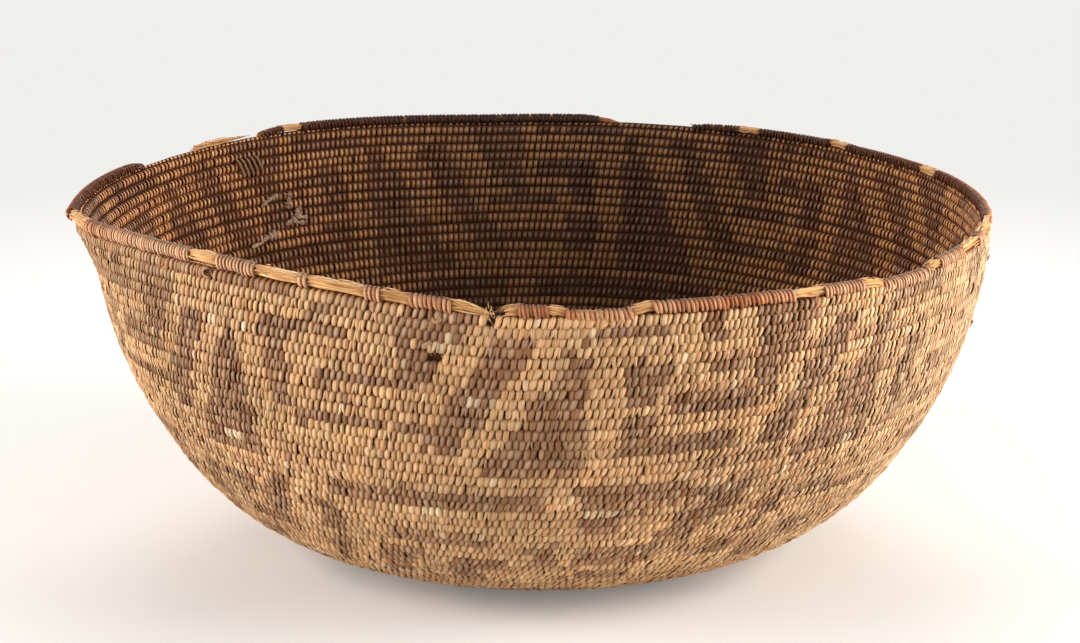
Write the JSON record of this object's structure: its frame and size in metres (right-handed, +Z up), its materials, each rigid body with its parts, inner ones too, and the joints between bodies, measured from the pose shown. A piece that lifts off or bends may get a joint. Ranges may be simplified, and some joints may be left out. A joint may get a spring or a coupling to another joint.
{
  "type": "coiled basket",
  "caption": "Wide coiled bowl basket with a flat base, a steep sewn wall in a dark and light fret pattern and a worn rim, for holding dry food.",
  "frame": {"origin": "middle of the start knot's flat underside, on the bowl's axis, at the surface it stands on", "axes": "+Z up along the bowl's axis, -Y towards the front that the picture shows, +X to its right"},
  "size_m": [0.4524, 0.4414, 0.1804],
  "materials": {
    "black_knot": "hard black splints, dull",
    "sewn_coil": "pale and dark splints sewn over a bundle, dry and faded outside, darker and rubbed inside",
    "bare_bundle": "bare golden split stems, fibrous",
    "rim_binding": "reddish-brown splints, worn smooth",
    "mend_strand": "dull brown strands"
  },
  "bodies": {
    "root": {"start_knot": "black_knot", "base_coil_01": "sewn_coil", "base_coil_02": "sewn_coil", "base_coil_03": "sewn_coil", "base_coil_04": "sewn_coil", "base_coil_05": "sewn_coil", "wall_coil_01": "sewn_coil", "wall_coil_02": "sewn_coil", "wall_coil_03": "sewn_coil", "wall_coil_04": "sewn_coil", "wall_coil_05": "sewn_coil", "wall_coil_06": "sewn_coil", "wall_coil_07": "sewn_coil", "wall_coil_08": "sewn_coil", "wall_coil_09": "sewn_coil", "wall_coil_10": "sewn_coil", "wall_coil_11": "sewn_coil", "wall_coil_12": "sewn_coil", "wall_coil_13": "sewn_coil", "wall_coil_14": "sewn_coil", "wall_coil_15": "sewn_coil", "wall_coil_16": "sewn_coil", "wall_coil_17": "sewn_coil", "wall_coil_18": "sewn_coil", "wall_coil_19": "sewn_coil", "wall_coil_20": "sewn_coil", "wall_coil_21": "sewn_coil", "wall_coil_22": "sewn_coil", "wall_coil_23": "sewn_coil", "wall_coil_24": "sewn_coil", "rim_bundle_front_left": "bare_bundle", "rim_bundle_right": "bare_bundle", "rim_bundle_back": "bare_bundle", "rim_bundle_flake": "bare_bundle", "rim_bundle_back_left": "bare_bundle", "rim_binding_01": "rim_binding", "rim_binding_02": "rim_binding", "rim_binding_03": "rim_binding", "rim_binding_04": "rim_binding", "rim_binding_05": "rim_binding", "rim_binding_06": "rim_binding", "rim_binding_07": "rim_binding", "rim_binding_08": "rim_binding", "rim_binding_09": "rim_binding", "rim_binding_10": "rim_binding", "rim_binding_11": "rim_binding", "rim_binding_12": "rim_binding", "rim_binding_13": "rim_binding", "rim_binding_14": "rim_binding", "rim_binding_15": "rim_binding", "rim_binding_16": "rim_binding", "rim_binding_17": "rim_binding", "rim_binding_18": "rim_binding", "rim_binding_19": "rim_binding", "mend_strand_01": "mend_strand", "mend_strand_02": "mend_strand", "mend_strand_03": "mend_strand", "mend_strand_04": "mend_strand", "mend_strand_05": "mend_strand"}
  },
  "joints": []
}
